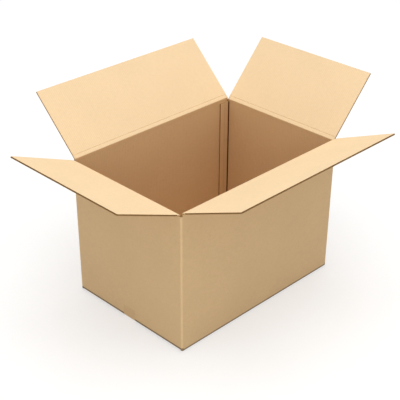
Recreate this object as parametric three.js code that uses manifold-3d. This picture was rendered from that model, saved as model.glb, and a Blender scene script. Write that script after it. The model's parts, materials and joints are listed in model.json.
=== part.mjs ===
// Double wall shipping box: one folded corrugated blank with four hinged top flaps, closed at the
// bottom by two layers of flaps and a strip of tape. Millimetres, +Z up, origin on the floor at the
// middle of the box, X along the long walls.
import * as THREE from "three";
import { mergeVertices } from "three/addons/utils/BufferGeometryUtils.js";
import Module from "manifold-3d";

const wasm = await Module();
wasm.setup();

// Driving dimensions of the box, outside
const boxLength = 648;
const boxWidth = 450;
const boxHeight = 450; // floor to the crease of the two long flaps

// Board and its folds
const board = 4.5; // E flute and B flute between three liners
const wallFoldRadius = 6; // outside of the three upright folds
const footFoldRadius = 5; // outside of the folds at the foot
const insideFoldRadius = 0.5; // inside of the folds at the foot
const foldSteps = 6; // facets round a quarter turn

// Slots and clearances of the blank
const flapSideInset = 5.75; // side edge of a flap, in from the outer face of the wall beside it
const layerGap = 0.5; // between the two layers of flaps, above and below
const seamGap = 1.5; // between the two long flaps where they meet
const hingeGap = 0.25; // play on each side of a mitred crease
const slotDepth = 2; // end of a slot below the crease of the short flaps
const cornerFoot = 3; // lowest point of the upright folds

// Pressed band of a top flap, beside its crease
const creasePress = 1; // how far the inner face is pressed in
const creaseFlat = 5; // width of the pressed band
const creaseRamp = 1.5; // width of the slope that leads out of it

// Score inside each upright fold
const scoreWidth = 2; // on each wall, from the inside corner
const scoreDepth = 2; // towards the outer face, on each wall

// Open flute ends at the far edge of a top flap
const liner = 0.4; // each of the three flat sheets
const fineFlute = 1.2; // height of the fine flute, next to the outer face
const coarsePitch = 6.4; // one wave of the coarse flute
const medium = 0.4; // wavy sheet between two openings
const mouthDepth = 8;

// Lapped joint at one corner
const tabWidth = 42;
const tabTaper = 1.5; // how much shorter the free edge of the tab is, at each end
const tabClear = 1; // above and below the fold lines of the flaps
const tabRootLap = 1; // overlap of the fold and the tab in the making
const cutEdgeInset = 1; // cut edge of the long wall, in from the outer face of the short wall

// Tape over the bottom seam
const tapeWidth = 50;
const tapeThickness = 0.3;
const tapeRise = 42; // height of its two ends on the short walls
const tapeBend = 6; // outside radius where it turns up

// How far each top flap leans outward from upright
const openDegrees = { front: 67, left: 67.4, back: 45.4, right: 42.4 };

// Levels and half sizes that follow
const halfLength = boxLength / 2;
const halfWidth = boxWidth / 2;
const shortCrease = boxHeight - board - layerGap;
const longFlapDepth = halfWidth - seamGap / 2;
const shortFlapDepth = longFlapDepth + board + layerGap;
const footTop = board + layerGap + footFoldRadius;
const pressedBoard = board - creasePress;
const creaseFoot = board + hingeGap;

const kraft = new THREE.MeshStandardMaterial({ color: 0xc9a878, roughness: 0.9, metalness: 0 });
const kraftLight = new THREE.MeshStandardMaterial({ color: 0xd3b386, roughness: 0.9, metalness: 0 });
const tapeBrown = new THREE.MeshStandardMaterial({ color: 0xb89463, roughness: 0.45, metalness: 0 });

// A closed three.js geometry as a solid that can be joined and cut.
function solid(geometry) {
  const bare = geometry.clone();
  bare.deleteAttribute("normal");
  bare.deleteAttribute("uv");
  const merged = mergeVertices(bare, 1e-4);
  return new wasm.Manifold(
    new wasm.Mesh({
      numProp: 3,
      vertProperties: merged.attributes.position.array,
      triVerts: new Uint32Array(merged.index.array),
    }),
  );
}

function meshOf(shape, material, name) {
  const { vertProperties, triVerts } = shape.getMesh();
  const geometry = new THREE.BufferGeometry();
  geometry.setAttribute("position", new THREE.BufferAttribute(vertProperties, 3));
  geometry.setIndex(new THREE.BufferAttribute(triVerts, 1));
  const flat = geometry.toNonIndexed();
  flat.computeVertexNormals();
  const mesh = new THREE.Mesh(flat, material);
  mesh.name = name;
  return mesh;
}

// A plan outline in X and Y, raised from one level to another.
function raised(outline, low, high) {
  const geometry = new THREE.ExtrudeGeometry(outline, {
    depth: high - low,
    bevelEnabled: false,
    curveSegments: foldSteps,
  });
  return geometry.translate(0, 0, low);
}

// A section drawn as (inward, up), run along a wall of the given width. The wall's own frame has X
// along the wall, Y inward from its outer face and Z up.
function alongWall(section, width) {
  const geometry = new THREE.ExtrudeGeometry(section, {
    depth: width,
    bevelEnabled: false,
    curveSegments: foldSteps,
  });
  geometry.translate(0, 0, -width / 2);
  const axes = new THREE.Matrix4().makeBasis(
    new THREE.Vector3(0, 1, 0),
    new THREE.Vector3(0, 0, 1),
    new THREE.Vector3(1, 0, 0),
  );
  return geometry.applyMatrix4(axes);
}

// The four walls: where each one's outer foot line lies, and the quarter turns that bring its frame
// round to it.
const walls = {
  front: { x: 0, y: -halfWidth, turns: 0, width: boxLength, long: true },
  right: { x: halfLength, y: 0, turns: 1, width: boxWidth, long: false },
  back: { x: 0, y: halfWidth, turns: 2, width: boxLength, long: true },
  left: { x: -halfLength, y: 0, turns: -1, width: boxWidth, long: false },
};

function wallMatrix(wall, level) {
  const turn = new THREE.Matrix4().makeRotationZ((wall.turns * Math.PI) / 2);
  return turn.setPosition(wall.x, wall.y, level);
}

function polygon(points) {
  return new THREE.Shape(points.map(([a, b]) => new THREE.Vector2(a, b)));
}

// The score inside an upright fold: a notch at the inside corner (x, y) that runs towards the outer
// corner, whose direction is (sx, sy). The path comes along the wall that faces X first, or last.
function score(plan, x, y, sx, sy, first) {
  const onX = [x, y - sy * scoreWidth];
  const onY = [x - sx * scoreWidth, y];
  const [start, end] = first ? [onX, onY] : [onY, onX];
  plan.lineTo(...start);
  plan.lineTo(x + sx * scoreDepth, y + sy * scoreDepth);
  plan.lineTo(...end);
}

// Plan of the board from the cut edge of the back wall, round the left and front walls, to the middle
// of the right wall. Folds are quarter rings.
function longWrapPlan() {
  const r = wallFoldRadius;
  const cutEdge = halfLength - cutEdgeInset;
  const x = halfLength - board;
  const y = halfWidth - board;
  const plan = new THREE.Shape();
  plan.moveTo(cutEdge, halfWidth);
  plan.lineTo(-halfLength + r, halfWidth);
  plan.absarc(-halfLength + r, halfWidth - r, r, Math.PI / 2, Math.PI, false);
  plan.lineTo(-halfLength, -halfWidth + r);
  plan.absarc(-halfLength + r, -halfWidth + r, r, Math.PI, 1.5 * Math.PI, false);
  plan.lineTo(halfLength - r, -halfWidth);
  plan.absarc(halfLength - r, -halfWidth + r, r, -Math.PI / 2, 0, false);
  plan.lineTo(halfLength, 0);
  plan.lineTo(x, 0);
  score(plan, x, -y, 1, -1, true);
  score(plan, -x, -y, -1, -1, false);
  score(plan, -x, y, -1, 1, true);
  plan.lineTo(cutEdge, y);
  plan.closePath();
  return plan;
}

// Plan of the rest of the right wall and of its fold into the glue tab.
function lapFoldPlan() {
  const r = wallFoldRadius;
  const x = halfLength - board;
  const y = halfWidth - board;
  const plan = new THREE.Shape();
  plan.moveTo(halfLength, 0);
  plan.lineTo(halfLength, y - r);
  plan.absarc(halfLength - r, y - r, r, 0, Math.PI / 2, false);
  plan.lineTo(halfLength - r - tabRootLap, y);
  plan.lineTo(halfLength - r - tabRootLap, y - board);
  score(plan, x, y - board, 1, 1, false);
  plan.lineTo(x, 0);
  plan.closePath();
  return plan;
}

// The glue tab lies flat against the inside of the back wall, with its two ends cut at a slant.
function glueTab() {
  const low = footTop + board + tabClear;
  const high = shortCrease - creaseFoot - tabClear;
  const root = halfLength - wallFoldRadius;
  const free = halfLength - tabWidth;
  const face = polygon([
    [free, low + tabTaper],
    [root, low],
    [root, high],
    [free, high - tabTaper],
  ]);
  const geometry = new THREE.ExtrudeGeometry(face, { depth: board, bevelEnabled: false });
  const upright = new THREE.Matrix4().makeRotationX(Math.PI / 2);
  geometry.applyMatrix4(upright);
  return solid(geometry.translate(0, halfWidth - board, 0));
}

// Foot of a wall with its bottom flap, as (inward, up): down the outer face, round the fold, along
// the underside to the flap's edge, and back along the inside.
function footSection(level, depth) {
  const r = footFoldRadius;
  const ri = insideFoldRadius;
  const section = new THREE.Shape();
  section.moveTo(0, footTop);
  section.lineTo(0, level + r);
  section.absarc(r, level + r, r, Math.PI, 1.5 * Math.PI, false);
  section.lineTo(depth, level);
  section.lineTo(depth, level + board);
  section.lineTo(board + ri, level + board);
  section.absarc(board + ri, level + board + ri, ri, 1.5 * Math.PI, Math.PI, true);
  section.lineTo(board, footTop);
  section.closePath();
  return section;
}

// What is cut from the top of a wall: everything above its mitre.
function wallTopCut() {
  const over = 2 * board;
  return polygon([
    [-board, board - hingeGap],
    [board, -creaseFoot],
    [over, -creaseFoot],
    [over, over],
    [-board, over],
  ]);
}

function cartonBody() {
  let body = solid(raised(longWrapPlan(), cornerFoot, boxHeight));
  body = body.add(solid(raised(lapFoldPlan(), cornerFoot, boxHeight)));
  for (const wall of Object.values(walls)) {
    const stretch = wall.width - 2 * flapSideInset;
    const level = wall.long ? 0 : board + layerGap;
    const depth = wall.long ? longFlapDepth : shortFlapDepth;
    const crease = wall.long ? boxHeight : shortCrease;
    const clear = polygon([
      [-board, 0],
      [2 * board + wallFoldRadius, 0],
      [2 * board + wallFoldRadius, footTop],
      [-board, footTop],
    ]);
    const room = alongWall(clear, stretch).applyMatrix4(wallMatrix(wall, 0));
    const foot = alongWall(footSection(level, depth), stretch).applyMatrix4(wallMatrix(wall, 0));
    const top = alongWall(wallTopCut(), stretch).applyMatrix4(wallMatrix(wall, crease));
    body = body.subtract(solid(room)).add(solid(foot)).subtract(solid(top));
  }
  return body.subtract(cornerSlots()).add(glueTab()).subtract(tapeSolid());
}

// The blank's slots end just below the crease of the short flaps, at all four upright edges.
function cornerSlots() {
  let slots = null;
  for (const sx of [-1, 1]) {
    for (const sy of [-1, 1]) {
      const x = sx * halfLength;
      const y = sy * halfWidth;
      const corner = polygon([
        [x - sx * flapSideInset, y - sy * flapSideInset],
        [x + sx * board, y - sy * flapSideInset],
        [x + sx * board, y + sy * board],
        [x - sx * flapSideInset, y + sy * board],
      ]);
      const cut = solid(raised(corner, shortCrease - slotDepth, boxHeight + board));
      slots = slots ? slots.add(cut) : cut;
    }
  }
  return slots;
}

// The tape in the plane of X and Z: under the seam, and up both short walls. It is bedded into the
// board by its own thickness, so the box stands flat.
function tapeSolid() {
  const run = halfLength - tapeBend;
  const inner = tapeBend - tapeThickness;
  const face = halfLength - tapeThickness;
  const path = new THREE.Shape();
  path.moveTo(-run, 0);
  path.lineTo(run, 0);
  path.absarc(run, tapeBend, tapeBend, -Math.PI / 2, 0, false);
  path.lineTo(halfLength, tapeRise);
  path.lineTo(face, tapeRise);
  path.lineTo(face, tapeBend);
  path.absarc(run, tapeBend, inner, 0, -Math.PI / 2, true);
  path.lineTo(-run, tapeThickness);
  path.absarc(-run, tapeBend, inner, -Math.PI / 2, -Math.PI, true);
  path.lineTo(-face, tapeRise);
  path.lineTo(-halfLength, tapeRise);
  path.lineTo(-halfLength, tapeBend);
  path.absarc(-run, tapeBend, tapeBend, Math.PI, 1.5 * Math.PI, false);
  const geometry = new THREE.ExtrudeGeometry(path, {
    depth: tapeWidth,
    bevelEnabled: false,
    curveSegments: foldSteps,
  });
  geometry.translate(0, 0, -tapeWidth / 2);
  return solid(geometry.applyMatrix4(new THREE.Matrix4().makeRotationX(Math.PI / 2)));
}

// Section of a top flap as (inward, up) when it stands upright: a mitred root on the crease line, the
// pressed band, and the full board out to the cut edge.
function flapSection(depth) {
  const root = pressedBoard + hingeGap;
  return polygon([
    [0, hingeGap],
    [pressedBoard, root],
    [pressedBoard, root + creaseFlat],
    [board, root + creaseFlat + creaseRamp],
    [board, depth],
    [0, depth],
  ]);
}

// Open ends of the flutes, cut into the far edge of a flap. A coarse wave leaves an opening under
// each arch and one between two arches. The fine waves are too small to cut one by one, so their row
// is one narrow slot.
function fluteMouths(width, depth) {
  const low = 2 * liner + fineFlute;
  const high = board - liner;
  const half = coarsePitch / 2;
  const reach = half - medium;
  const count = Math.floor(width / coarsePitch) - 1;
  const openings = [];
  for (let i = 0; i < count; i += 1) {
    const x = (i - (count - 1) / 2) * coarsePitch;
    openings.push(polygon([[x - reach, low], [x + reach, low], [x, high - medium]]));
    if (i < count - 1) {
      openings.push(polygon([[x + half - reach, high], [x + half, low + medium], [x + half + reach, high]]));
    }
  }
  const slot = width / 2 - half;
  openings.push(polygon([[-slot, liner], [slot, liner], [slot, low - liner], [-slot, low - liner]]));
  const geometry = new THREE.ExtrudeGeometry(openings, { depth: 2 * mouthDepth, bevelEnabled: false });
  return solid(geometry.translate(0, 0, depth - mouthDepth));
}

function topFlap(side) {
  const wall = walls[side];
  const width = wall.width - 2 * flapSideInset;
  const depth = wall.long ? longFlapDepth : shortFlapDepth;
  const crease = wall.long ? boxHeight : shortCrease;
  const sheet = solid(alongWall(flapSection(depth), width)).subtract(fluteMouths(width, depth));
  const flap = meshOf(sheet, kraftLight, `top_flap_${side}`);
  flap.rotation.x = THREE.MathUtils.degToRad(openDegrees[side]);
  const hinge = new THREE.Group();
  hinge.position.set(wall.x, wall.y, crease);
  hinge.rotation.z = (wall.turns * Math.PI) / 2;
  hinge.add(flap);
  return hinge;
}

const box = new THREE.Group();
box.add(meshOf(cartonBody(), kraft, "carton_body"));
for (const side of Object.keys(walls)) {
  box.add(topFlap(side));
}
box.add(meshOf(tapeSolid(), tapeBrown, "bottom_tape"));

export default box;
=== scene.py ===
"""Double wall shipping box: the looks of the folded board, its pressed creases and its open flute ends.

Run as a script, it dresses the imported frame: the stage, the walls and bottom, four fluted top flaps,
the bent creases that join them to the walls, the ends of the bottom flaps, and the tape under the box.
"""

import json

import bmesh
import bpy
import numpy as np
from bpy.props import FloatProperty, FloatVectorProperty, PointerProperty
from mathutils import Matrix, Vector


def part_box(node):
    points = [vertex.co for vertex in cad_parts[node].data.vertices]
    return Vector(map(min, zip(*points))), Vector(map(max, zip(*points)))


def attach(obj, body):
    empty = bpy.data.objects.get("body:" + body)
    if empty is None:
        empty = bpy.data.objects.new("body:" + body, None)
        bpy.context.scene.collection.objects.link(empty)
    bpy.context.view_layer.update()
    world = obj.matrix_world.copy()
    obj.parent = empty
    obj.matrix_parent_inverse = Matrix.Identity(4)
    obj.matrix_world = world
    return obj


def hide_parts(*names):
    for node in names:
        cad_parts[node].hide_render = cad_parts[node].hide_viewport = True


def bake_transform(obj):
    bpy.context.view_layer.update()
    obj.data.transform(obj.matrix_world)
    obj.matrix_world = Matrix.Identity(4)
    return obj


bl_info = {
    "name": "Double wall shipping box",
    "version": (1, 0, 0),
    "blender": (4, 5, 0),
    "location": "View3D > Sidebar > Box",
    "description": "Dresses a folded corrugated box round its packed frame",
    "category": "Object",
}

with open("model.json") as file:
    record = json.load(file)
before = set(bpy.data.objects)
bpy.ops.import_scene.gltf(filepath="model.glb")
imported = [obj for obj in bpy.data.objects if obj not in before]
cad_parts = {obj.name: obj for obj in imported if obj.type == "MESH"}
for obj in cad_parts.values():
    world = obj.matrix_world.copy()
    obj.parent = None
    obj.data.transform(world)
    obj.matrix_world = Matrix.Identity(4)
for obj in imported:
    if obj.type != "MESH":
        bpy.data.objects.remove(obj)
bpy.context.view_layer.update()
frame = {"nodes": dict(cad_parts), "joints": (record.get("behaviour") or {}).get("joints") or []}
BODY_LOW, (END, SIDE, TOP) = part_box("carton_body")
SIDES = ("front", "right", "back", "left")
LONG_SIDES = ("front", "back")
SHORT_ENDS = ((-1, -1), (1, -1), (-1, 1))
JOINTS = {joint["child"].removeprefix("flap_"): joint for joint in frame["joints"]}
UP = np.array([0.0, 0.0, 1.0])
OUTER, INNER, EDGE = range(3)  # numbers of the board's three materials
SKIN = 0.0001  # how far a surface laid over a solid stands off it
SLACK = 0.0006  # how far a place may lie from the level that a mask looks for
FACING = 0.7  # least share of a normal along an axis for a face that looks along it
CUT_INSET = 0.001  # cut edge of the back wall, in from the outer face of the short wall

# Camera, fitted to the edges of the box in a 400 pixel square picture
CAMERA_PLACE = (-1.8448, -1.8093, 1.7296)
CAMERA_LOOK = (0.60312, 0.60061, -0.52489)
CAMERA_UP = (0.3683, 0.37401, 0.85116)
CAMERA_SHIFT = 0.1
FOCAL_PIXELS = 976.0
PICTURE_PIXELS = 400
SENSOR_MM = 36.0

# Studio: each lamp's name, width, power in watts and place, and the dome's strength level and overhead
LAMPS = (
    ("soft_box", 4.2, 150.0, (-0.3, -0.7, 7.0)),
    ("fill", 1.4, 7.5, (-1.7, -1.75, 0.6)),
)
LAMP_AIM = (0.0, 0.0, 0.2)
LAMP_COLOUR = (1.0, 0.99, 0.97)
DOME = (0.445, 0.87)
WHITE = (1.0, 1.0, 1.0, 1.0)
FLOOR_REACH = 12.0
FLOOR_GAP = 0.0003  # between the floor and the underside
FLOOR_GLOW = 1.15


def size(name, metres, description):
    """A length that a user may change, in metres."""
    return FloatProperty(
        name=name, default=metres, min=0.0, unit="LENGTH", precision=5, description=description
    )


def tint(name, red, green, blue, description):
    """A colour that a user may change, linear."""
    return FloatVectorProperty(
        name=name,
        default=(red, green, blue),
        subtype="COLOR",
        min=0.0,
        max=1.0,
        description=description,
    )


class BoxBoardSizes(bpy.types.PropertyGroup):
    """Sizes of the double wall board and of its pressed creases."""

    board: size("Board", 0.0045, "Thickness of the double wall board")
    liner: size("Liner", 0.00038, "Thickness of each of the three flat sheets")
    medium: size("Medium", 0.00024, "Thickness of each wavy sheet")
    fine_flute: size("Fine flute", 0.0012, "Height of the fine flute, next to the outer face")
    fine_pitch: size("Fine pitch", 0.0033, "Length of one wave of the fine flute")
    coarse_pitch: size("Coarse pitch", 0.0064, "Length of one wave of the coarse flute")
    mouth: size("Mouth", 0.016, "Depth to which the open flutes are modelled")
    side_inset: size("Side inset", 0.00575, "Side edge of a flap, in from the wall's end")
    press: size("Press", 0.001, "How far the band beside a crease is pressed in")
    press_flat: size("Press width", 0.005, "Width of the pressed band on the flap")
    press_ramp: size("Press slope", 0.0015, "Width of the slope out of the pressed band")
    play: size("Play", 0.00025, "Gap on each side of a mitred crease")
    tab: size("Glue tab", 0.042, "Width of the glue tab, from the outer face of the wall it is folded from")
    score: size("Score", 0.003, "Width of the score in an upright fold, on each wall")
    layer_gap: size("Layer gap", 0.0005, "Gap between the two layers of the bottom")
    foot_fold: size("Foot fold", 0.005, "Radius of the folds at the foot of the walls")
    wall_fold: size("Wall fold", 0.006, "Outside radius of the upright folds")
    seam: size("Seam", 0.0015, "Gap where the two long bottom flaps meet")
    tape: size("Tape", 0.0003, "Thickness of the tape")
    tooth: size("Tooth", 0.0012, "Depth of the saw teeth at the torn ends of the tape")
    tooth_pitch: size("Tooth pitch", 0.0025, "Width of one saw tooth")


class BoxColours(bpy.types.PropertyGroup):
    """Colours of the board's two faces, its raw edges and the tape. The inner face comes in two copies, the
    inside one painted darker for the shade inside the box.
    """

    outer: tint("Outer liner", 0.597, 0.416, 0.224, "Outer face of the board")
    # inner and inside are the same liner: inside is its copy painted darker for the shade inside the box
    inner: tint("Inner liner", 0.92, 0.695, 0.428, "Inner face of the board, on the flaps")
    inside: tint("Inside", 0.70, 0.475, 0.26, "Inner face of the board, inside the box")
    edge: tint("Raw edge", 0.41, 0.24, 0.095, "Wavy sheets and cut edges")
    crevice: tint("Crevice", 0.15, 0.042, 0.004, "Depth of a score, where little light comes")
    tape: tint("Tape", 0.555, 0.37, 0.18, "Tape over the bottom seam")
    floor: tint("Floor", 0.92, 0.92, 0.92, "Studio floor")


class Nodes:
    """Short way to add and join nodes in one node tree."""

    def __init__(self, tree):
        """Takes the tree that the nodes go into."""
        self.tree = tree

    def add(self, kind, **inputs):
        """A node of that kind, with inputs named by their socket, set or linked."""
        node = self.tree.nodes.new(kind)
        for key, value in inputs.items():
            if hasattr(node, key) and key not in node.inputs:
                setattr(node, key, value)
        for key, value in inputs.items():
            name = key.replace("_", " ")
            socket = node.inputs.get(key) or node.inputs.get(name)
            if socket is not None:
                self.feed(socket, value)
        return node

    def feed(self, socket, value):
        """Links an output to the socket, or sets the socket to a value."""
        if isinstance(value, bpy.types.NodeSocket):
            self.tree.links.new(value, socket)
        else:
            socket.default_value = value

    def math(self, operation, first, second=None):
        """The result of a math node on one or two values."""
        node = self.tree.nodes.new("ShaderNodeMath")
        node.operation = operation
        self.feed(node.inputs[0], first)
        if second is not None:
            self.feed(node.inputs[1], second)
        return node.outputs[0]

    def smooth(self, value, low, high, to_low=0.0, to_high=1.0):
        """A value eased from one range to another."""
        node = self.tree.nodes.new("ShaderNodeMapRange")
        node.interpolation_type = "SMOOTHSTEP"
        for socket, number in zip(node.inputs, (value, low, high, to_low, to_high)):
            self.feed(socket, number)
        return node.outputs[0]

    def mix(self, factor, first, second):
        """Two colours mixed."""
        node = self.tree.nodes.new("ShaderNodeMix")
        node.data_type = "RGBA"
        for index, value in ((0, factor), (6, first), (7, second)):
            self.feed(node.inputs[index], value)
        return node.outputs[2]

    def noise(self, vector, scale, detail=4.0, rough=0.55):
        """Noise, about 0 to 1."""
        node = self.tree.nodes.new("ShaderNodeTexNoise")
        self.feed(node.inputs["Vector"], vector)
        node.inputs["Scale"].default_value = scale
        node.inputs["Detail"].default_value = detail
        node.inputs["Roughness"].default_value = rough
        return node.outputs["Fac"]

    def stretched(self, vector, scale):
        """The vector with each axis scaled, which stretches a pattern along the axis scaled least."""
        node = self.tree.nodes.new("ShaderNodeMapping")
        self.feed(node.inputs["Vector"], vector)
        node.inputs["Scale"].default_value = scale
        return node.outputs[0]

    def joined(self, operation, values):
        """All the values joined by one operation, from the first to the last."""
        result = values[0]
        for value in values[1:]:
            result = self.math(operation, result, value)
        return result

    def every(self, *masks):
        """Where all the masks hold: their product."""
        return self.joined("MULTIPLY", masks)

    def either(self, *masks):
        """Where any of the masks holds: the largest of them."""
        return self.joined("MAXIMUM", masks)

    def opposite(self, mask):
        """Where the mask doesn't hold."""
        return self.math("SUBTRACT", 1.0, mask)

    def above(self, value, limit):
        """1 where the value is over the limit."""
        return self.math("GREATER_THAN", value, limit)

    def below(self, value, limit):
        """1 where the value is under the limit."""
        return self.math("LESS_THAN", value, limit)

    def at(self, value, level):
        """1 where the value is the level, give or take the slack."""
        return self.below(self.math("ABSOLUTE", self.math("SUBTRACT", value, level)), SLACK)


def socket(tree, name, kind, output=False, default=None):
    """Adds a named socket to a node group."""
    way = "OUTPUT" if output else "INPUT"
    made = tree.interface.new_socket(name=name, in_out=way, socket_type="NodeSocket" + kind)
    if default is not None:
        made.default_value = default


def paper_group():
    """Kraft paper: a cloudy tone, long fibres along the web, and a few dark specks."""
    name = "kraft_paper"
    if name in bpy.data.node_groups:
        return bpy.data.node_groups[name]
    tree = bpy.data.node_groups.new(name, "ShaderNodeTree")
    socket(tree, "Vector", "Vector")
    socket(tree, "Color", "Color", default=(0.8, 0.6, 0.4, 1.0))
    socket(tree, "Strength", "Float", default=1.0)
    socket(tree, "Color", "Color", output=True)
    socket(tree, "Height", "Float", output=True)
    make = Nodes(tree)
    given = make.add("NodeGroupInput").outputs
    vector, colour, strength = given[0], given[1], given[2]
    cloud = make.noise(vector, 7.0, 3.0)
    flock = make.noise(vector, 90.0, 4.0, 0.6)
    along = make.noise(make.stretched(vector, (70.0, 70.0, 1400.0)), 1.0, 3.0, 0.6)
    across = make.noise(make.stretched(vector, (1400.0, 1400.0, 160.0)), 1.0, 2.0, 0.6)
    grain = make.noise(vector, 1500.0, 2.0)
    tone = 0.0
    for pattern, share in ((cloud, 0.10), (flock, 0.10), (along, 0.16), (across, 0.08)):
        change = make.math("MULTIPLY", make.math("SUBTRACT", pattern, 0.5), share)
        tone = make.math("ADD", tone, change)
    speck = make.smooth(make.noise(vector, 420.0, 1.0), 0.70, 0.76)
    tone = make.math("SUBTRACT", tone, make.math("MULTIPLY", speck, 0.22))
    tone = make.math("MULTIPLY", tone, strength)
    value = make.add("ShaderNodeHueSaturation", Color=colour, Value=make.math("ADD", tone, 1.0))
    height = make.math("ADD", make.math("MULTIPLY", along, 0.6), make.math("MULTIPLY", grain, 0.4))
    out = make.add("NodeGroupOutput")
    make.feed(out.inputs[0], value.outputs[0])
    make.feed(out.inputs[1], height)
    return tree


def washboard_group():
    """Faint ribs where the glued flutes show through a liner: a sine of the place across them."""
    name = "washboard"
    if name in bpy.data.node_groups:
        return bpy.data.node_groups[name]
    tree = bpy.data.node_groups.new(name, "ShaderNodeTree")
    socket(tree, "Place", "Float")
    socket(tree, "Pitch", "Float", default=0.0064)
    socket(tree, "Height", "Float", output=True)
    make = Nodes(tree)
    given = make.add("NodeGroupInput").outputs
    turn = make.math("DIVIDE", make.math("MULTIPLY", given[0], 2 * np.pi), given[1])
    wave = make.math("ADD", make.math("MULTIPLY", make.math("SINE", turn), 0.5), 0.5)
    out = make.add("NodeGroupOutput")
    make.feed(out.inputs[0], wave)
    return tree


def grouped(make, tree, **inputs):
    """A node that holds the group, with its inputs set or linked."""
    node = make.tree.nodes.new("ShaderNodeGroup")
    node.node_tree = tree
    for name, value in inputs.items():
        make.feed(node.inputs[name], value)
    return node


def new_material(name):
    """An empty node material with its Principled shader and a node maker."""
    material = bpy.data.materials.new(name)
    material.use_nodes = True
    material.node_tree.nodes.clear()
    make = Nodes(material.node_tree)
    shader = make.add("ShaderNodeBsdfPrincipled")
    out = make.add("ShaderNodeOutputMaterial")
    make.feed(out.inputs["Surface"], shader.outputs[0])
    return material, make, shader


def opaque(colour):
    """A colour with full alpha."""
    return (*colour, 1.0)


def set_finish(make, shader, height, low_rough, high_rough, specular):
    """Roughness by the height of the fibres, from low to high, and the weight of the sheen."""
    make.feed(shader.inputs["Roughness"], make.smooth(height, 0.2, 0.8, low_rough, high_rough))
    shader.inputs["Specular IOR Level"].default_value = specular


def finish_paper(make, shader, colour, vector, ribs, rib_depth):
    """Paper colour, fibre and ribs into a matte shader."""
    paper = grouped(make, paper_group(), Vector=vector, Color=colour)
    height = paper.outputs["Height"]
    tone = make.math("SUBTRACT", 1.03, make.math("MULTIPLY", ribs, 0.05))
    shade = make.add("ShaderNodeHueSaturation", Color=paper.outputs["Color"], Value=tone)
    make.feed(shader.inputs["Base Color"], shade.outputs[0])
    set_finish(make, shader, height, 0.95, 0.78, 0.25)
    rib = make.add("ShaderNodeBump", Strength=0.5, Distance=rib_depth, Height=ribs)
    fibre = make.add("ShaderNodeBump", Strength=0.5, Distance=0.00012, Height=height)
    make.feed(fibre.inputs["Normal"], rib.outputs[0])
    make.feed(shader.inputs["Normal"], fibre.outputs[0])


def liner_material(name, colour, pitch, below=None):
    """A liner of a flap: its own map gives the place across the flutes and along them. Below the
    crease, where the map's second number is negative, it may turn to the colour of the inside of the box,
    the liner's copy painted darker for the shade there."""
    material, make, shader = new_material(name)
    place = make.add("ShaderNodeUVMap", uv_map="board").outputs[0]
    split = make.add("ShaderNodeSeparateXYZ", Vector=place)
    turned = make.add("ShaderNodeCombineXYZ")
    make.feed(turned.inputs[0], split.outputs[0])
    make.feed(turned.inputs[2], split.outputs[1])
    tone = opaque(colour)
    if below is not None:
        blend = 0.0012
        # below the crease the liner blends into its copy painted darker for the shade inside the box
        tone = make.mix(make.smooth(split.outputs[1], -blend, blend), opaque(below), tone)
    ribs = grouped(make, washboard_group(), Place=split.outputs[0], Pitch=pitch)
    finish_paper(make, shader, tone, turned.outputs[0], ribs.outputs[0], 0.00012)
    return material


def raw_edge_material(name, colour):
    """Wavy sheets and cut edges: darker, furry paper."""
    material, make, shader = new_material(name)
    place = make.add("ShaderNodeTexCoord").outputs["Object"]
    paper = grouped(make, paper_group(), Vector=place, Color=opaque(colour), Strength=1.6)
    height = paper.outputs["Height"]
    make.feed(shader.inputs["Base Color"], paper.outputs["Color"])
    set_finish(make, shader, height, 1.0, 0.85, 0.15)
    bump = make.add("ShaderNodeBump", Strength=0.7, Distance=0.0002, Height=height)
    make.feed(shader.inputs["Normal"], bump.outputs[0])
    return material


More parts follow.
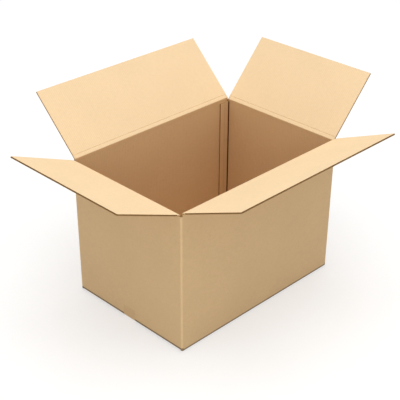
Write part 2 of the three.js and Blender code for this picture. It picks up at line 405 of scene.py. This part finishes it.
class Blank:
    """Masks of the parts of the folded blank, from where a point lies and where its face looks."""

    def __init__(self, make, sizes):
        """Inside is where a point lies more than half a board in from every outer face. The joint is
        in the corner where X and Y are both positive."""
        self.make, self.sizes = make, sizes
        self.place = make.add("ShaderNodeTexCoord").outputs["Object"]
        self.spot = make.add("ShaderNodeSeparateXYZ", Vector=self.place).outputs
        self.away = [make.math("ABSOLUTE", out) for out in self.spot]
        normal = make.add("ShaderNodeNewGeometry").outputs["True Normal"]
        looks = make.add("ShaderNodeSeparateXYZ", Vector=normal).outputs
        self.facing = [make.math("ABSOLUTE", out) for out in looks]
        self.on_x, self.on_y, self.flat = (make.above(part, FACING) for part in self.facing)
        half = sizes.board / 2
        self.inside = make.every(
            make.below(self.away[0], END - half),
            make.below(self.away[1], SIDE - half),
            make.above(self.spot[2], half),
        )
        self.joint = make.every(make.above(self.spot[0], 0.0), make.above(self.spot[1], 0.0))
        self.layers = 2 * sizes.board + SLACK
        self.flap_sides = self.bottom_flap_sides()
        self.tab_edge = make.every(
            self.on_x,
            self.joint,
            make.at(self.spot[0], END - sizes.tab),
            make.above(self.spot[1], SIDE - 2 * sizes.board - SLACK),
        )

    def bottom_flap_sides(self):
        """Side edges of the lower bottom flaps, which look along X, and of the upper ones, along Y."""
        make, board, inset = self.make, self.sizes.board, self.sizes.side_inset
        height = self.spot[2]
        lower = make.every(self.on_x, make.below(height, board), make.at(self.away[0], END - inset))
        upper = make.every(
            self.on_y,
            make.above(height, board),
            make.below(height, self.layers),
            make.at(self.away[1], SIDE - inset),
        )
        return make.either(lower, upper)

    def raw_edges(self):
        """Everything that was cut: the tops of the walls and tab, the four edges where the bottom
        flaps end, their sides, and the upright edges of the back wall and the tab."""
        make, board = self.make, self.sizes.board
        tops = make.every(self.flat, make.above(self.spot[2], self.layers + SLACK))
        short_tips = make.every(
            self.on_x, make.below(self.spot[2], self.layers), make.below(self.away[0], END - 6 * board)
        )
        long_tips = make.every(self.on_y, make.below(self.away[1], 2 * SLACK))
        wall_cut = make.every(
            self.on_x,
            self.joint,
            make.at(self.spot[0], END - CUT_INSET),
            make.above(self.spot[1], SIDE - board - SLACK),
        )
        return make.either(tops, short_tips, long_tips, self.flap_sides, wall_cut, self.tab_edge)

    def score_shade(self):
        """Where shade is painted in the score inside each upright fold, up to the crease of the flaps. At
        the joint the score lies one board further in, because the tab is folded inside the wall."""
        make, board, width = self.make, self.sizes.board, self.sizes.score
        corner = make.math("SUBTRACT", SIDE - board - width, make.math("MULTIPLY", self.joint, board))
        return make.every(
            self.inside,
            make.above(self.away[0], END - board - width),
            make.above(self.away[1], corner),
            make.below(self.spot[2], TOP - 2.2 * board),
        )

    def tab_stripe_shade(self):
        """A soft stripe down the middle of the glue tab, where shade is painted as for a shallow crease."""
        make, board = self.make, self.sizes.board
        middle = END - board - 0.5 * (self.sizes.tab - board)
        distance = make.math("ABSOLUTE", make.math("SUBTRACT", self.spot[0], middle))
        return make.every(
            make.smooth(distance, 0.0008, 0.0032, 1.0, 0.0),
            self.joint,
            self.on_y,
            make.at(self.spot[1], SIDE - 2 * board),
        )

    def foot(self):
        """Where shade is painted at the foot of the box, up to the end of each wall's fold, for the shadow
        where it meets the floor, and on the bottom flaps' side edges in the recess under the folds.
        """
        make, board, rim = self.make, self.sizes.board, self.sizes.wall_fold
        short = make.smooth(self.spot[2], 2.3 * board, 3.1 * board, 1.0, 0.0)
        long = make.smooth(self.spot[2], 1.3 * board, 2.1 * board, 1.0, 0.0)
        return make.either(
            make.every(short, make.above(self.away[0], END - rim)),
            make.every(long, make.above(self.away[1], SIDE - rim)),
            self.flap_sides,
        )

    def upright_fold_highlight(self):
        """The outside of the four upright corners, where a highlight is painted along each fold."""
        make, fold = self.make, self.sizes.wall_fold
        near_end = make.smooth(self.away[0], END - fold, END - fold / 2)
        near_side = make.smooth(self.away[1], SIDE - fold, SIDE - fold / 2)
        return make.every(near_end, near_side, make.opposite(self.inside))

    def across(self):
        """The place across the flutes: X on the long walls and the lower bottom flaps, and Y on the
        short walls and the upper ones."""
        make = self.make
        looks_long = make.above(make.math("SUBTRACT", self.facing[1], self.facing[0]), 0.0)
        upright = make.every(make.opposite(self.flat), looks_long)
        lower = make.every(self.flat, make.below(self.spot[2], self.sizes.board + SLACK))
        lengthwise = make.either(upright, lower)
        along_x = make.every(self.spot[0], lengthwise)
        return make.math("ADD", along_x, make.every(self.spot[1], make.opposite(lengthwise)))


def carton_material(name, colours, sizes):
    """The folded blank: outer liner outside, inner liner inside in its copy painted darker for the shade
    inside the box, and raw edges where it was cut. Shade is painted in each score, along the glue tab's
    edge, on a stripe down the tab and at the foot of the box, and a highlight is painted on the outsides
    of the upright folds."""
    material, make, shader = new_material(name)
    blank = Blank(make, sizes)
    # inside the box the inner face takes its copy painted darker for the shade there
    colour = make.mix(blank.inside, opaque(colours.outer), opaque(colours.inside))
    colour = make.mix(blank.raw_edges(), colour, opaque(colours.edge))
    # painted shade: the crevice colour in each score, and at 0.3 as a painted shadow along the glue tab's
    # edge
    dark = make.either(blank.score_shade(), make.math("MULTIPLY", blank.tab_edge, 0.3))
    colour = make.mix(dark, colour, opaque(colours.crevice))
    # painted shade on the tab's stripe and at the foot, and a painted highlight on the upright folds
    shade = 1.0
    for mask, change in (
        (blank.tab_stripe_shade(), -0.12),
        (blank.foot(), -0.66),
        (blank.upright_fold_highlight(), 0.11),
    ):
        shade = make.math("ADD", shade, make.math("MULTIPLY", mask, change))
    value = make.add("ShaderNodeHueSaturation", Color=colour, Value=shade)
    wider = make.every(blank.inside, sizes.coarse_pitch - sizes.fine_pitch)
    pitch = make.math("ADD", sizes.fine_pitch, wider)
    ribs = grouped(make, washboard_group(), Place=blank.across(), Pitch=pitch)
    finish_paper(make, shader, value.outputs[0], blank.place, ribs.outputs[0], 0.0001)
    make.feed(shader.inputs["Specular IOR Level"], make.smooth(dark, 0.0, 1.0, 0.25, 0.0))
    return material


def tape_material(name, colour):
    """Brown packing tape: a smooth film with fine lengthwise streaks."""
    material, make, shader = new_material(name)
    place = make.add("ShaderNodeTexCoord").outputs["Object"]
    streak = make.noise(make.stretched(place, (30.0, 900.0, 60.0)), 1.0, 3.0)
    cloud = make.noise(place, 60.0, 2.0)
    tone = make.math("ADD", make.math("MULTIPLY", streak, 0.14), make.math("MULTIPLY", cloud, 0.1))
    tone = make.math("ADD", tone, 0.88)
    value = make.add("ShaderNodeHueSaturation", Color=opaque(colour), Value=tone)
    make.feed(shader.inputs["Base Color"], value.outputs[0])
    make.feed(shader.inputs["Roughness"], make.smooth(cloud, 0.3, 0.7, 0.38, 0.5))
    shader.inputs["Specular IOR Level"].default_value = 0.3
    bump = make.add("ShaderNodeBump", Strength=0.3, Distance=0.0001, Height=streak)
    make.feed(shader.inputs["Normal"], bump.outputs[0])
    return material


class Wall:
    """Frame of one wall and its flap: along the crease, inward or out of the inner face, and outward
    along the sheet."""

    def __init__(self, side):
        """The angle is how far the flap leans outward from upright at rest. Its depth is the lesser
        of spread / sin(angle) and (rise - board sin(angle)) / cos(angle), where spread and rise are
        how far the solid flap reaches out from the crease and above it."""
        sizes = bpy.context.scene.box_board
        joint = JOINTS[side]
        self.side = side
        self.hinge = np.array(joint["pos_m"], float)
        self.along = np.array(joint["axis"], float)
        self.inward = np.cross(UP, self.along)
        self.angle = np.radians(-joint["range_deg"][0] - 90.0)
        self.half = (END if side in LONG_SIDES else SIDE) - sizes.side_inset
        corners = np.array([tuple(corner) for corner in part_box(f"top_flap_{side}")])
        spread = -(corners - self.hinge) @ self.inward
        rise = (corners - self.hinge) @ UP
        sin, cos = np.sin(self.angle), np.cos(self.angle)
        self.depth = float(min(spread.max() / sin, (rise.max() - sizes.board * sin) / cos))

    def place(self, across, thick, length, angle=None):
        """Points at those distances along the crease, through the board and out along the sheet, with
        the sheet turned outward by the angle from upright."""
        turn = self.angle if angle is None else angle
        across, thick, length, turn = np.broadcast_arrays(across, thick, length, turn)
        cos, sin = np.cos(turn)[..., None], np.sin(turn)[..., None]
        normal = cos * self.inward + sin * UP
        sheet = cos * UP - sin * self.inward
        return (
            self.hinge
            + across[..., None] * self.along
            + thick[..., None] * normal
            + length[..., None] * sheet
        )


def grid_faces(count):
    """Quads of a square grid of points, row by row, that look up."""
    row, column = np.meshgrid(np.arange(count - 1), np.arange(count - 1), indexing="ij")
    corner = (row * count + column).ravel()
    return np.stack([corner + count, corner + count + 1, corner + 1, corner], axis=-1)


def wavy(places, low, high, pitch, paper):
    """Lower and upper surface of a wavy sheet that lies between two liners, at places across it.

    Its middle is (low + high) / 2 + s sin(2 pi x / pitch), with s = (high - low - paper) / 2. Half the
    paper's thickness, measured through the board, is paper / 2 sqrt(1 + slope squared).
    """
    swing = (high - low - paper) / 2
    turn = 2 * np.pi * places / pitch
    offset = (low + high) / 2 + swing * np.sin(turn)
    slope = swing * 2 * np.pi / pitch * np.cos(turn)
    thick = paper / 2 * np.sqrt(1 + slope**2)
    return offset - thick, offset + thick


class Shells:
    """Collects closed shells of quads, each point with its place on the sheet and each face with the
    number of its material."""

    def __init__(self):
        """Starts with no shells."""
        self.points, self.maps, self.faces, self.slots = [], [], [], []
        self.count = 0

    def ring(self, rows, maps, slot, cap):
        """A closed shell from an array of rows, each a closed loop of points; the first and the last
        row are capped by one polygon each. The slot may be one number, or one for each face round."""
        count, around = rows.shape[:2]
        index = self.count + np.arange(count * around).reshape(count, around)
        index = np.concatenate([index, index[:, :1]], axis=1)
        quads = np.stack(
            [index[:-1, :-1], index[:-1, 1:], index[1:, 1:], index[1:, :-1]], axis=-1
        ).reshape(-1, 4)
        self.points.append(rows.reshape(-1, 3))
        self.maps.append(maps.reshape(-1, 2))
        caps = [index[0, :-1][::-1], index[-1, :-1]]
        self.faces += [list(face) for face in quads] + [list(face) for face in caps]
        slots = np.broadcast_to(np.asarray(slot), (count - 1, around)).reshape(-1)
        self.slots += [int(s) for s in slots] + [cap, cap]
        self.count += count * around

    def sheet(self, ends, levels, lengths, put, slot):
        """A closed flat sheet between two ends across and two levels through the board, run along the
        lengths. A level may differ from length to length."""
        (left, right), (low, high) = ends, levels
        corners = ((left, low), (right, low), (right, high), (left, high))
        loops = [put(across, thick, lengths) for across, thick in corners]
        maps = [np.stack([np.full_like(lengths, across), lengths], axis=-1) for across, _ in corners]
        self.ring(np.stack(loops, axis=1), np.stack(maps, axis=1), slot, EDGE)

    def strip(self, across, surfaces, near, far, put):
        """A closed wavy sheet: its lower and upper surface at each place across, from the near to the
        far distance along the flutes."""
        low, high = surfaces
        corners = ((low, near), (low, far), (high, far), (high, near))
        loops = [put(across, thick, np.full_like(across, length)) for thick, length in corners]
        maps = [np.stack([across, np.full_like(across, length)], axis=-1) for _, length in corners]
        self.ring(np.stack(loops, axis=1), np.stack(maps, axis=1), EDGE, EDGE)

    def object(self, name, materials):
        """The mesh object, with its map and materials."""
        mesh = bpy.data.meshes.new(name)
        mesh.from_pydata(np.concatenate(self.points).tolist(), [], self.faces)
        for material in materials:
            mesh.materials.append(material)
        mesh.polygons.foreach_set("material_index", self.slots)
        places = np.concatenate(self.maps)
        corners = np.zeros(len(mesh.loops), np.int32)
        mesh.loops.foreach_get("vertex_index", corners)
        layer = mesh.uv_layers.new(name="board")
        layer.data.foreach_set("uv", places[corners].astype(np.float32).ravel())
        mesh.update()
        made = bpy.data.objects.new(name, mesh)
        bpy.context.scene.collection.objects.link(made)
        return made


def face_outward(obj):
    """Turns every closed shell of the object so that its faces point out."""
    work = bmesh.new()
    work.from_mesh(obj.data)
    bmesh.ops.recalc_face_normals(work, faces=work.faces)
    work.to_mesh(obj.data)
    work.free()


def ease(t):
    """A number from 0 to 1 eased at both ends: t squared (3 - 2 t)."""
    return t * t * (3.0 - 2.0 * t)


def inner_face(length, sizes):
    """Distance from the outer face to the inner face of the board at a length from the crease: pressed
    in by the crease, then a smooth slope out to the full board."""
    start = sizes.board - sizes.press + sizes.play + sizes.press_flat
    t = np.clip((length - start) / sizes.press_ramp, 0.0, 1.0)
    return sizes.board - sizes.press * (1.0 - ease(t))


def flap_panel(wall, sizes, materials):
    """One top flap: three liners, a solid middle that stops short of the edges, and two wavy sheets in
    the open mouth at the far edge and along both side edges."""
    shells = Shells()
    half, depth = wall.half - SKIN, wall.depth
    liner, board = sizes.liner, sizes.board
    root = board - sizes.press + sizes.play
    band_end = root + sizes.press_flat
    mouth = depth - sizes.mouth
    middle = liner + sizes.fine_flute
    steps = np.concatenate(
        [
            np.linspace(root, band_end, 3),
            band_end + sizes.press_ramp * np.linspace(0.2, 1.0, 5),
            np.linspace(root + 0.02, mouth, 6),
            np.linspace(mouth, depth, 4)[1:],
        ]
    )
    inner = inner_face(steps, sizes)
    ends = (-half, half)
    outer_steps = np.concatenate([[sizes.play], steps])
    shells.sheet(ends, (0.0, liner), outer_steps, wall.place, (OUTER, EDGE, OUTER, EDGE))
    shells.sheet(ends, (middle, middle + liner), steps, wall.place, EDGE)
    shells.sheet(ends, (inner - liner, inner), steps, wall.place, (INNER, EDGE, INNER, EDGE))
    inset = 1.5 * sizes.coarse_pitch
    core = steps[steps <= mouth + 1e-6]
    levels = (liner / 2, inner_face(core, sizes) - liner / 2)
    shells.sheet((inset - half, half - inset), levels, core, wall.place, EDGE)
    lap, recess = 0.001, 0.0003  # how far the waves run into the solid middle, and end inside the liners
    for low, high, pitch, samples in (
        (liner, middle, sizes.fine_pitch, 10),
        (middle + liner, board - liner, sizes.coarse_pitch, 12),
    ):
        count = int(round(2 * half / pitch * samples))
        side = np.linspace(half - inset - pitch / 2, half, 2 * samples)
        start = band_end + sizes.press_ramp
        for places, near, far in (
            (np.linspace(-half, half, count + 1), mouth - lap, depth - recess),
            (side, start, mouth),
            (-side[::-1], start, mouth),
        ):
            surfaces = wavy(places, low, high, pitch, sizes.medium)
            shells.strip(places, surfaces, near, far, wall.place)
    panel = shells.object(f"flap_panel_{wall.side}", materials)
    face_outward(panel)
    return panel


def crease_strip(wall, sizes, materials):
    """The bent board at a crease: the outer liner folds round the crease line, and the inner liner
    sweeps round it while it is pressed in, in one closed section run along the crease.

    On the wall the section stands upright, on the flap it leans by the flap's angle, and between
    them each point turns about the crease line in equal steps. Both ends dip under the board.
    """
    bends, columns = 11, 65
    tuck = 0.0003  # how far the two ends dip under the board
    near = 0.0005  # straight part of the outer liner on each side of the crease line
    bend_map = 0.002  # length on the map from one side of the bend to the other
    full = sizes.board + SKIN
    pressed = sizes.board - sizes.press + SKIN
    foot = 2.2 * sizes.board
    reach = sizes.board - sizes.press + sizes.play + sizes.press_flat
    turns = np.linspace(0.0, wall.angle, bends)
    eased = ease(np.linspace(0.0, 1.0, bends))
    inner = [(full - tuck, -foot, 0.0), (full, -0.8 * foot, 0.0), (full, -0.3 * foot, 0.0)]
    inner += [(full + (pressed - full) * e, 0.0, turn) for e, turn in zip(eased, turns)]
    inner += [(pressed, 0.5 * reach, wall.angle), (pressed, reach, wall.angle)]
    inner += [(pressed - tuck, reach + sizes.press_ramp / 2, wall.angle)]
    outer = [(tuck, reach, wall.angle), (-SKIN, 0.7 * reach, wall.angle), (-SKIN, near, wall.angle)]
    outer += [(-SKIN, 0.0, wall.angle / 2), (-SKIN, -near, 0.0)]
    outer += [(-SKIN, -0.7 * foot, 0.0), (tuck, -foot, 0.0)]
    section = np.array(inner + outer)
    across = np.linspace(-wall.half - SKIN, wall.half + SKIN, columns)[:, None]
    thick, length, turn = section.T
    grid = wall.place(across, thick, length, turn)
    run = length + bend_map * (turn / wall.angle - 0.5)
    maps = np.stack(np.broadcast_arrays(across, run), axis=-1)
    slots = np.where(np.arange(len(section)) < len(inner), INNER, OUTER)
    shells = Shells()
    shells.ring(grid, maps, slots, EDGE)
    strip = shells.object(f"crease_{wall.side}", materials)
    face_outward(strip)
    strip.data.shade_smooth()
    return strip


def tape_film(sizes, material):
    """The strip of tape under the seam and up both short walls, with saw teeth at its torn ends.

    In the plane of X and Z it runs down the wall, round the fold at the wall's foot, by the tangent to
    the edge of the lower layer, and then flat under the box. It dips into the seam by a bell curve of
    the distance from it, dip exp(-(y / seam) squared).
    """
    dip, seam = 0.00008, 0.0005
    low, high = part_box("bottom_tape")
    level = sizes.board + sizes.layer_gap + sizes.foot_fold
    centre = np.array([END - sizes.foot_fold, level])
    edge = np.array([END - sizes.side_inset, low.z - SKIN])
    radius = sizes.foot_fold + SKIN
    gap = edge - centre
    leave = np.arctan2(gap[1], gap[0]) + np.arccos(radius / np.hypot(*gap))
    turns = np.linspace(0.0, leave, 7)
    bend = centre + radius * np.stack([np.cos(turns), np.sin(turns)], axis=-1)
    flat = np.linspace(edge[0], -edge[0], 15)[1:-1]
    rows, maps = [], []
    for y in np.union1d(np.linspace(low.y, high.y, 41), np.arange(-2.0, 3.0) * seam):
        tooth = abs((y - low.y) / sizes.tooth_pitch % 1.0 - 0.5) * 2.0
        top = high.z + sizes.tooth * (1.0 - tooth)
        rise = level + (top - level) * np.array([1.0, 0.75, 0.5, 0.25])
        upright = np.stack([np.full_like(rise, END + SKIN), rise], axis=-1)
        side = np.concatenate([upright, bend, edge[None]])
        lift = dip * np.exp(-((y / seam) ** 2))
        under = np.stack([flat, edge[1] + np.full_like(flat, lift)], axis=-1)
        path = np.concatenate([side, under, side[::-1] * (-1.0, 1.0)])
        run = np.gradient(path, axis=0)
        run /= np.linalg.norm(run, axis=1)[:, None]
        inner = path + sizes.tape * np.stack([run[:, 1], -run[:, 0]], axis=-1)
        loop = np.concatenate([path, inner[::-1]])
        rows.append(np.stack([loop[:, 0], np.full(len(loop), y), loop[:, 1]], axis=-1))
        maps.append(rows[-1][:, :2])
    shells = Shells()
    shells.ring(np.array(rows), np.array(maps), 0, 0)
    film = shells.object("tape_film", [material])
    face_outward(film)
    film.data.shade_smooth()
    film.data.set_sharp_from_angle(angle=np.radians(40.0))
    return film


def board_materials(sizes, colours):
    """The outer liner, the inner liner and the raw edge, made once."""
    names = ("outer_liner", "inner_liner", "raw_edge")
    if names[0] not in bpy.data.materials:
        liner_material(names[0], colours.outer, sizes.fine_pitch)
        liner_material(names[1], colours.inner, sizes.coarse_pitch, colours.inside)
        raw_edge_material(names[2], colours.edge)
    return [bpy.data.materials[name] for name in names]


def layer_end(sign_x, sign_y, sizes, materials):
    """The end of a long bottom flap, from where the solid stops to the flap's side edge.

    It is board like that of the top flaps: three liners, and between them two wavy sheets whose waves
    follow X and whose flutes run along Y.
    """
    shells = Shells()
    liner, board = sizes.liner, sizes.board
    start = END - 2 * board - sizes.wall_fold
    end = END - sizes.side_inset
    near, far = sizes.seam / 2, SIDE - sizes.side_inset
    middle = liner + sizes.fine_flute

    def put(across, thick, length):
        """Points of the flap, with distances along X, up and along Y."""
        across, thick, length = np.broadcast_arrays(across, thick, length)
        return np.stack([sign_x * across, sign_y * length, thick], axis=-1)

    for levels, slots in (
        ((0.0, liner), (OUTER, EDGE, EDGE, EDGE)),
        ((middle, middle + liner), EDGE),
        ((board - liner, board), (EDGE, EDGE, INNER, EDGE)),
    ):
        shells.sheet((start, end), levels, np.array([near, far]), put, slots)
    places = np.linspace(start, end, 37)
    for low, high, pitch in (
        (liner, middle, sizes.fine_pitch),
        (middle + liner, board - liner, sizes.coarse_pitch),
    ):
        shells.strip(places, wavy(places, low, high, pitch, sizes.medium), near, far, put)
    name = f"layer_end_{'front' if sign_y < 0 else 'back'}_{'left' if sign_x < 0 else 'right'}"
    piece = shells.object(name, materials)
    face_outward(piece)
    return piece


class BOX_OT_stage(bpy.types.Operator):
    """Adds the camera, the soft studio light and the white floor"""

    bl_idname = "box.stage"
    bl_label = "Studio stage"

    def execute(self, context):
        """Makes the stage round the frame."""
        scene = context.scene
        camera = bpy.data.cameras.new("camera")
        camera.sensor_width = SENSOR_MM
        camera.lens = FOCAL_PIXELS / PICTURE_PIXELS * SENSOR_MM
        camera.shift_y = CAMERA_SHIFT
        camera.clip_end = 50.0
        eye = bpy.data.objects.new("camera", camera)
        eye.location = CAMERA_PLACE
        look, up = Vector(CAMERA_LOOK).normalized(), Vector(CAMERA_UP).normalized()
        turn = Matrix((look.cross(up), up, -look)).transposed()
        eye.rotation_euler = turn.to_euler()
        scene.collection.objects.link(eye)
        scene.camera = eye
        scene.view_settings.view_transform = "Standard"
        self.lights(scene)
        self.floor(scene)
        return {"FINISHED"}

    def lights(self, scene):
        """A pale dome, brighter overhead, one large soft box above and a weak fill at the near edge."""
        world = bpy.data.worlds.new("studio")
        world.use_nodes = True
        world.node_tree.nodes.clear()
        make = Nodes(world.node_tree)
        seen = make.add("ShaderNodeLightPath").outputs["Is Camera Ray"]
        way = make.add("ShaderNodeTexCoord").outputs["Generated"]
        rise = make.add("ShaderNodeSeparateXYZ", Vector=way).outputs[2]
        strength = make.either(seen, make.smooth(rise, 0.0, 0.8, *DOME))
        ground = make.add("ShaderNodeBackground", Color=WHITE, Strength=strength)
        out = make.add("ShaderNodeOutputWorld")
        make.feed(out.inputs["Surface"], ground.outputs[0])
        scene.world = world
        for name, width, watts, place in LAMPS:
            lamp = bpy.data.lights.new(name, "AREA")
            lamp.shape = "RECTANGLE"
            lamp.size = lamp.size_y = width
            lamp.energy = watts
            lamp.color = LAMP_COLOUR
            made = bpy.data.objects.new(name, lamp)
            made.location = place
            aim = Vector(LAMP_AIM) - made.location
            made.rotation_euler = aim.to_track_quat("-Z", "Y").to_euler()
            scene.collection.objects.link(made)

    def floor(self, scene):
        """A wide flat sheet, pale, that keeps a soft shadow of the box."""
        count = 9
        across = np.linspace(-FLOOR_REACH, FLOOR_REACH, count)
        x, y = np.meshgrid(across, across, indexing="ij")
        points = np.stack([x, y, np.full_like(x, BODY_LOW.z - FLOOR_GAP)], axis=-1).reshape(-1, 3)
        mesh = bpy.data.meshes.new("floor")
        mesh.from_pydata(points.tolist(), [], grid_faces(count).tolist())
        floor = bpy.data.objects.new("floor", mesh)
        scene.collection.objects.link(floor)
        material, make, shader = new_material("studio_floor")
        colour = scene.box_colours.floor
        noise = make.noise(make.add("ShaderNodeTexCoord").outputs["Object"], 3.0)
        shade = make.mix(make.math("MULTIPLY", noise, 0.3), opaque(colour), (0.9, 0.9, 0.9, 1.0))
        make.feed(shader.inputs["Base Color"], shade)
        shader.inputs["Roughness"].default_value = 0.9
        seen = make.add("ShaderNodeLightPath").outputs["Is Camera Ray"]
        glow = make.add("ShaderNodeEmission", Color=WHITE, Strength=FLOOR_GLOW)
        mixed = make.add("ShaderNodeMixShader")
        make.feed(mixed.inputs[0], make.smooth(seen, 0.0, 1.0, 0.25, 0.45))
        make.feed(mixed.inputs[1], shader.outputs[0])
        make.feed(mixed.inputs[2], glow.outputs[0])
        out = [node for node in make.tree.nodes if node.type == "OUTPUT_MATERIAL"][0]
        make.feed(out.inputs["Surface"], mixed.outputs[0])
        mesh.materials.append(material)


class BOX_OT_blank(bpy.types.Operator):
    """Finishes the folded blank"""

    bl_idname = "box.blank"
    bl_label = "Folded blank"

    def execute(self, context):
        """Gives the solid walls and bottom their material."""
        sizes, colours = context.scene.box_board, context.scene.box_colours
        mesh = frame["nodes"]["carton_body"].data
        mesh.materials.clear()
        mesh.materials.append(carton_material("kraft_blank", colours, sizes))
        return {"FINISHED"}


class BOX_OT_flaps(bpy.types.Operator):
    """Adds the four fluted top flaps and their creases"""

    bl_idname = "box.flaps"
    bl_label = "Top flaps"

    def execute(self, context):
        """Makes each flap on its own body and its crease across the joint."""
        sizes, colours = context.scene.box_board, context.scene.box_colours
        materials = board_materials(sizes, colours)
        span = 0.004  # length on each side of the crease line, to the two points start and end
        for side in SIDES:
            wall = Wall(side)
            panel = flap_panel(wall, sizes, materials)
            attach(panel, f"flap_{side}")
            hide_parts(f"top_flap_{side}")
            strip = crease_strip(wall, sizes, materials)
            start = wall.place(0.0, sizes.board / 2, -span, 0.0)
            end = wall.place(0.0, sizes.board / 2, span)
            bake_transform(strip)
        return {"FINISHED"}


class BOX_OT_ends(bpy.types.Operator):
    """Adds the ends that the long bottom flaps lack"""

    bl_idname = "box.ends"
    bl_label = "Bottom flap ends"

    def execute(self, context):
        """Makes each end on the body of the box."""
        sizes, colours = context.scene.box_board, context.scene.box_colours
        for sign_x, sign_y in SHORT_ENDS:
            piece = layer_end(sign_x, sign_y, sizes, board_materials(sizes, colours))
            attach(piece, "box")
        return {"FINISHED"}


class BOX_OT_tape(bpy.types.Operator):
    """Adds the strip of tape under the box"""

    bl_idname = "box.tape"
    bl_label = "Bottom tape"

    def execute(self, context):
        """Makes the film in place of the plain solid strip."""
        sizes, colours = context.scene.box_board, context.scene.box_colours
        film = tape_film(sizes, tape_material("tape_film", colours.tape))
        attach(film, "box")
        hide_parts("bottom_tape")
        return {"FINISHED"}


class BOX_PT_panel(bpy.types.Panel):
    """Lists the steps and the sizes of the box"""

    bl_idname = "BOX_PT_panel"
    bl_label = "Shipping box"
    bl_space_type = "VIEW_3D"
    bl_region_type = "UI"
    bl_category = "Box"

    def draw(self, context):
        """Buttons for the operators, then every size and colour."""
        for step in STEPS:
            self.layout.operator(step.bl_idname)
        for group in (context.scene.box_board, context.scene.box_colours):
            for name in group.__annotations__:
                self.layout.prop(group, name)


STEPS = (BOX_OT_stage, BOX_OT_blank, BOX_OT_flaps, BOX_OT_ends, BOX_OT_tape)
CLASSES = (BoxBoardSizes, BoxColours, *STEPS, BOX_PT_panel)


def register():
    """Registers the classes and their settings."""
    for made in CLASSES:
        bpy.utils.register_class(made)
    bpy.types.Scene.box_board = PointerProperty(type=BoxBoardSizes)
    bpy.types.Scene.box_colours = PointerProperty(type=BoxColours)


def unregister():
    """Takes the settings and the classes away again."""
    del bpy.types.Scene.box_colours
    del bpy.types.Scene.box_board
    for made in reversed(CLASSES):
        bpy.utils.unregister_class(made)


def main():
    """Runs every step."""
    register()
    bpy.ops.box.stage()
    bpy.ops.box.blank()
    bpy.ops.box.flaps()
    bpy.ops.box.ends()
    bpy.ops.box.tape()


if __name__ == "__main__":
    main()
